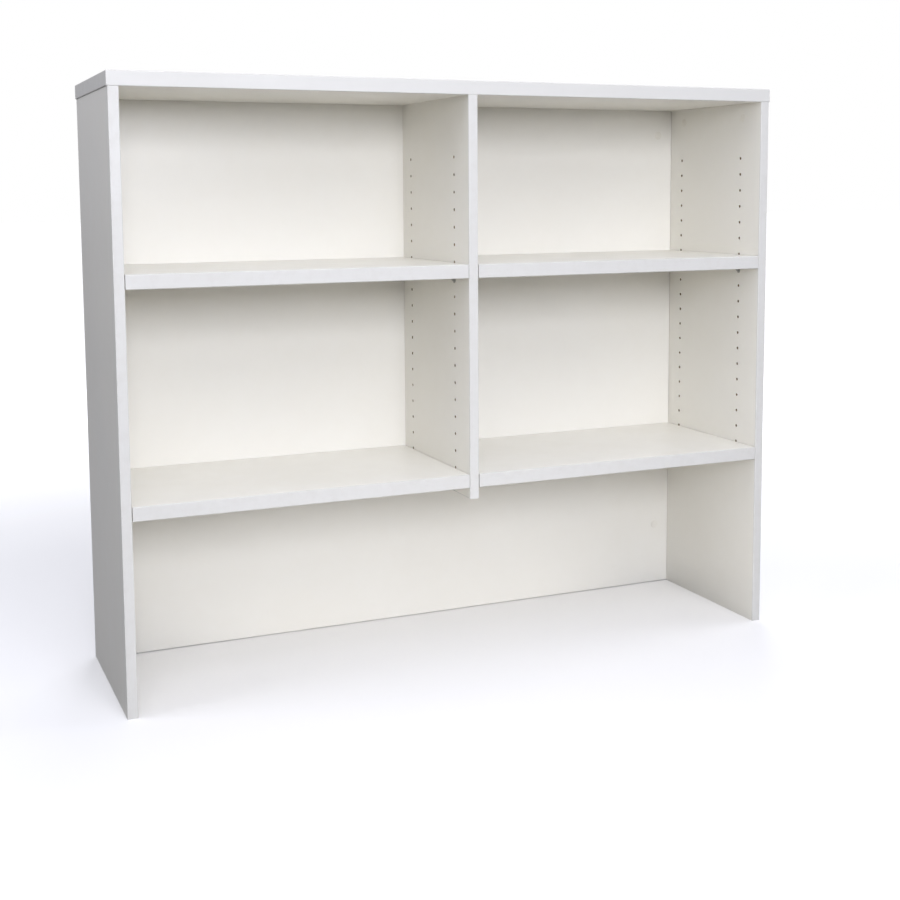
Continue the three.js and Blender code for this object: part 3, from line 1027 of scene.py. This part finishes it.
def makePinModel():  # the peg's axis meets the wall at the origin, and the platform reaches along +X
    half, thick, reach, inset = pins["width"] / 2, pins["thick"], pins["reach"], pins["webInset"]

    def isFootCorner(edge):
        run = abs(edge.verts[0].co.x - edge.verts[1].co.x)
        return run > thick / 2 and all(end.co.z < 0 for end in edge.verts)

    def isTipCorner(edge):
        run = abs(edge.verts[0].co.z - edge.verts[1].co.z)
        return run > thick / 2 and all(end.co.x > reach / 2 for end in edge.verts)

    plate = startBlock("pin_model", (0, -half, -pins["foot"]), (thick, half, pins["rise"]))
    pickParts(plate, "EDGE", isFootCorner)
    bpy.ops.mesh.bevel(offset=pins["footRound"], segments=8, affect="EDGES")
    leaveEdit()

    platform = startBlock("pin_platform", (0, -half, pins["rise"] - thick), (reach, half, pins["rise"]))
    pickParts(platform, "EDGE", isTipCorner)
    bpy.ops.mesh.bevel(offset=pins["tipRound"], segments=6, affect="EDGES")
    leaveEdit()

    foot = Vector((thick, 0, inset - pins["foot"]))
    tip = Vector((reach - inset, 0, pins["rise"] - thick))
    slope = tip - foot
    webLow = (0.3 * thick, -thick / 2, foot.z)  # it runs a little into the plate and the platform
    webHigh = (tip.x, thick / 2, pins["rise"] - 0.3 * thick)
    web = startBlock("pin_web", webLow, webHigh)
    pickParts(web, "FACE", lambda face: True)
    below = Vector((slope.z, 0, -slope.x)).normalized()
    bpy.ops.mesh.bisect(plane_co=foot, plane_no=below, use_fill=True, clear_outer=True)
    leaveEdit()

    pegEnd = (-pins["pegLength"], 0, 0)
    peg = startRod("pin_peg", (thick / 2, 0, 0), pegEnd, pins["pegRadius"], pins["pegSides"])
    pickParts(peg, "EDGE", lambda edge: all(end.co.x < -pins["pegLength"] / 2 for end in edge.verts))
    bpy.ops.mesh.bevel(offset=pins["pegRound"], segments=3, affect="EDGES")
    leaveEdit()

    for part in (platform, web, peg):
        weldOn(plate, part)
    sharp = math.radians(50)
    applied(plate, "BEVEL", width=pins["soften"], segments=2, limit_method="ANGLE", angle_limit=sharp)
    wear(plate, nickelPlate)
    smoothed(plate, 40)
    return plate


def makePins():
    model = makePinModel()
    walls = {
        ("left", "outer"): (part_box("left_side_panel")[1].x, 1),
        ("left", "inner"): (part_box("centre_divider")[0].x, -1),
        ("right", "inner"): (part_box("centre_divider")[1].x, 1),
        ("right", "outer"): (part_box("right_side_panel")[0].x, -1),
    }
    for (bay, wall), (wallX, way) in walls.items():
        for level in ("upper", "lower"):
            for column in ("front", "rear"):
                name = f"{level}_{bay}_{wall}_{column}"
                axis = pegAxis("pin_" + name)
                place = Vector((wallX, axis.y, axis.z))
                piece = copyTo(model, name + "_support", place, xAxis * way, yAxis * way, zAxis)
                markRims(piece)
                standFor(piece, "pin_" + name)
    bpy.data.objects.remove(model)


makePins()
print("shelf pins made")


# cams, bolts, caps and screws

def makeCross(cross):  # two tapered blades along local -Z from the origin
    width, thick, depth, taper = cross["width"], cross["thick"], cross["depth"], cross["taper"]
    blades = []
    for wide, deep in ((width, thick), (thick, width)):
        blade = startBlock("blade", (-wide / 2, -deep / 2, -depth), (wide / 2, deep / 2, cross["above"]))
        pickParts(blade, "FACE", lambda face: face.normal.z < -0.9)
        bpy.ops.transform.resize(value=(taper, taper, 1), center_override=(0, 0, -depth))
        leaveEdit()
        blades.append(blade)
    return blades


cam = {
    "radius": 7.2 * mm,
    "length": 12 * mm,
    "sides": 48,
    "rimRound": 0.35 * mm,
    "slotWidth": 7.5 * mm,
    "slotStart": 5.25 * mm,    # from the board's face
    "slotBack": 2.5 * mm,      # how far the bolt's pocket runs past the middle
    "slotRound": 0.8 * mm,
    "overrun": 1 * mm,         # what cuts it runs out this far past it
    "trackWidth": 4.4 * mm,    # the track that pulls the bolt in
    "trackInner": 4.6 * mm,
    "trackDepth": 8.64 * mm,
    "trackTurn": 165,          # degrees
    "trackSteps": 18,
    "arrowSize": 0.9 * mm,
    "arrowDepth": 0.6 * mm,
    "arrowPlace": 5.2 * mm,
    "cross": {"width": 6 * mm, "thick": 1.5 * mm, "depth": 2.4 * mm, "above": 2.4 * mm, "taper": 0.55},
}


def makeCamModel():  # face at z 0 looking up, body below it, the bolt enters from +Y
    body = startRod("cam_model", (0, 0, -cam["length"]), (0, 0, 0), cam["radius"], cam["sides"])
    pickParts(body, "EDGE", lambda edge: abs(edge.verts[0].co.z - edge.verts[1].co.z) < 0.1 * mm)
    bpy.ops.mesh.bevel(offset=cam["rimRound"], segments=2, affect="EDGES")
    leaveEdit()

    half, outside = cam["slotWidth"] / 2, cam["radius"] + cam["overrun"]
    slotLow = (-half, -cam["slotBack"], -cam["length"] - cam["overrun"])
    slot = startBlock("slot", slotLow, (half, outside, -cam["slotStart"]))
    pickParts(slot, "EDGE", lambda edge: True)
    bpy.ops.mesh.bevel(offset=cam["slotRound"], segments=3, affect="EDGES")
    leaveEdit()
    cutAway(body, slot)

    clearPick()
    trackMiddle = (cam["trackInner"] + outside) / 2
    bpy.ops.mesh.primitive_plane_add(size=1, location=(0, trackMiddle, -cam["trackDepth"]))
    track = bpy.context.object
    track.rotation_euler = (0, math.pi / 2, 0)
    track.scale = (cam["trackWidth"], outside - cam["trackInner"], 1)
    settle(track)
    bpy.ops.object.mode_set(mode="EDIT")
    bpy.ops.mesh.select_all(action="SELECT")
    turn = math.radians(cam["trackTurn"])
    bpy.ops.mesh.spin(steps=cam["trackSteps"], angle=turn, center=(0, 0, 0), axis=(0, 0, 1))
    bpy.ops.mesh.select_all(action="SELECT")
    bpy.ops.mesh.normals_make_consistent(inside=False)
    leaveEdit()
    cutAway(body, track)

    for blade in makeCross(cam["cross"]):
        cutAway(body, blade)
    clearPick()
    bpy.ops.mesh.primitive_cylinder_add(
        vertices=3, radius=cam["arrowSize"], depth=cam["arrowDepth"], location=(0, cam["arrowPlace"], 0)
    )
    arrow = bpy.context.object
    settle(arrow)
    cutAway(body, arrow)
    wear(body, camZinc)
    smoothed(body)
    return body


bolt = {
    "headRadius": 3.2 * mm,
    "headLength": 2.5 * mm,
    "neckRadius": 2 * mm,
    "neckLength": 8.5 * mm,    # from the head's middle to the shank
    "shankRadius": 3.4 * mm,
    "clearance": 0.5 * mm,     # shank short of the mating board
    "soft": 0.3 * mm,          # chamfers and run-outs
    "rootRadius": 1.95 * mm,
    "crestRadius": 2.4 * mm,
    "threadLength": 11 * mm,
    "threadEnds": 1.4 * mm,    # without thread, both ends together
    "plainTip": 1.2 * mm,
    "tipRadius": 1.3 * mm,
    "pitch": 1.7 * mm,
    "steps": 28,
    "cross": {"width": 3.4 * mm, "thick": 0.8 * mm, "depth": 1.1 * mm, "above": 1.1 * mm, "taper": 0.5},
}


def threadOutline(thread, start, length):  # rings of a sharp thread
    root, crest, pitch = thread["rootRadius"], thread["crestRadius"], thread["pitch"]
    points = []
    for turn in range(int(length / pitch)):
        low = start + turn * pitch
        points += [(root, low), (root, low + 0.35 * pitch), (crest, low + 0.65 * pitch)]
    return points


def makeBoltModel(distance):  # the head's middle at the origin, the thread along +Z
    half, soft = bolt["headLength"] / 2, bolt["soft"]
    head, neck, shank, root = bolt["headRadius"], bolt["neckRadius"], bolt["shankRadius"], bolt["rootRadius"]
    neckEnd, shankEnd = bolt["neckLength"], distance - bolt["clearance"]
    end = distance + bolt["threadLength"]
    outline = [
        (0, -half), (head - soft, -half), (head, soft - half), (head, half - soft), (head - soft, half),
        (neck, half + soft), (neck, neckEnd - soft), (shank - soft, neckEnd),
        (shank, neckEnd + soft), (shank, shankEnd - soft), (shank - soft, shankEnd), (root, shankEnd),
    ]
    outline += threadOutline(bolt, shankEnd + soft, bolt["threadLength"] - bolt["threadEnds"])
    outline += [(root, end - bolt["plainTip"]), (bolt["tipRadius"], end), (0, end)]
    piece = lathed("bolt_model", outline, bolt["steps"])
    for blade in makeCross(bolt["cross"]):
        blade.rotation_euler = (math.pi, 0, 0)
        blade.location = (0, 0, -half)
        settle(blade)
        cutAway(piece, blade)
    wear(piece, yellowZinc)
    smoothed(piece, 30)
    return piece


cap = {
    "radius": 8.5 * mm,
    "proud": 0.9 * mm,
    "lip": 0.35 * mm,
    "gap": 0.02 * mm,        # off the board's face
    "steps": 56,
    # its dome, in shares of its radius and of how proud it stands
    "dome": [(0, 1), (0.45, 0.97), (0.8, 0.82), (0.93, 0.68), (0.985, 0.5)],
    "plug": {"width": 5.4 * mm, "thick": 1.1 * mm, "depth": 1.6 * mm, "above": 0.3 * mm, "taper": 0.8},
}


def makeCapModel():  # the board's face is at z 0 and the cap stands above it
    edge = cap["radius"]
    outline = [(out * edge, up * cap["proud"]) for out, up in cap["dome"]]
    outline += [(edge, cap["lip"]), (edge, cap["gap"]), (0, cap["gap"])]
    piece = lathed("cap_model", outline, cap["steps"])
    for blade in makeCross(cap["plug"]):  # the plug that grips the cam's cross
        weldOn(piece, blade)
    wear(piece, capPlastic)
    smoothed(piece)
    return piece


screw = {
    "length": 50 * mm,
    "headRadius": 4 * mm,
    "headLength": 2.5 * mm,
    "headChamfer": 0.15 * mm,
    "headRim": 0.4 * mm,
    "shankRadius": 2 * mm,
    "shankLength": 14 * mm,
    "rootRadius": 1.6 * mm,
    "crestRadius": 2.3 * mm,
    "pitch": 2.2 * mm,
    "runOut": 0.6 * mm,        # from the shank down to the thread's root
    "threadGap": 1 * mm,
    "pointLength": 4 * mm,
    "pointRadius": 0.3 * mm,
    "pointRound": 0.2 * mm,
    "steps": 28,
    "cross": {"width": 4.4 * mm, "thick": 0.95 * mm, "depth": 2.1 * mm, "above": 2.1 * mm, "taper": 0.4},
}


def makeScrewModel():  # the head's flat end at z 0, the point along -Z
    head, shank, root = screw["headRadius"], screw["shankRadius"], screw["rootRadius"]
    length, shankEnd, point = screw["length"], screw["shankLength"], screw["pointLength"]
    depths = [
        (0, 0), (head - screw["headChamfer"], 0), (head, screw["headChamfer"]), (head, screw["headRim"]),
        (shank, screw["headLength"]), (shank, shankEnd), (root, shankEnd + screw["runOut"]),
    ]
    threadStart = shankEnd + screw["threadGap"]
    depths += threadOutline(screw, threadStart, length - threadStart - point)
    depths += [(root, length - point), (screw["pointRadius"], length - screw["pointRound"]), (0, length)]
    piece = lathed("screw_model", [(radius, -depth) for radius, depth in depths], screw["steps"])
    for blade in makeCross(screw["cross"]):
        cutAway(piece, blade)
    wear(piece, yellowZinc)
    smoothed(piece, 30)
    return piece


def makeFittings():
    camModel = makeCamModel()
    capModel = makeCapModel()
    bolts = {}  # a model for each distance from the cam's middle to the mating board
    for name, inward, towards, _, matingBoard in fittings:
        face = camFace(name, inward)
        side = towards.cross(-inward)
        casting = copyTo(camModel, name + "_cam_casting", face, side, towards, -inward)
        markRims(casting)
        standFor(casting, name + "_cam")
        cover = copyTo(capModel, name + "_cap", face, side, towards, -inward)
        markRims(cover)
        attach(cover, "carcass")

        camMiddle, boltMiddle = boxMiddle(name + "_cam"), boxMiddle(name + "_bolt")
        distance = round(nearFace(matingBoard, towards) - camMiddle.dot(towards), 4)
        if distance not in bolts:
            bolts[distance] = makeBoltModel(distance)
        origin = boltMiddle + towards * (camMiddle - boltMiddle).dot(towards)
        turned = copyTo(bolts[distance], name + "_cam_bolt", origin, side, inward, towards)
        markRims(turned)
        standFor(turned, name + "_bolt")
    for model in (camModel, capModel, *bolts.values()):
        bpy.data.objects.remove(model)


def makeScrews():
    model = makeScrewModel()
    for name in screwNames:
        middle = boxMiddle(name)
        place = Vector((middle.x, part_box(name)[1].y, middle.z))
        piece = copyTo(model, name + "_countersunk", place, xAxis, -zAxis, yAxis)
        markRims(piece)
        standFor(piece, name)
    bpy.data.objects.remove(model)


makeFittings()
makeScrews()
print("cams, bolts, caps and screws made")


clearPick()
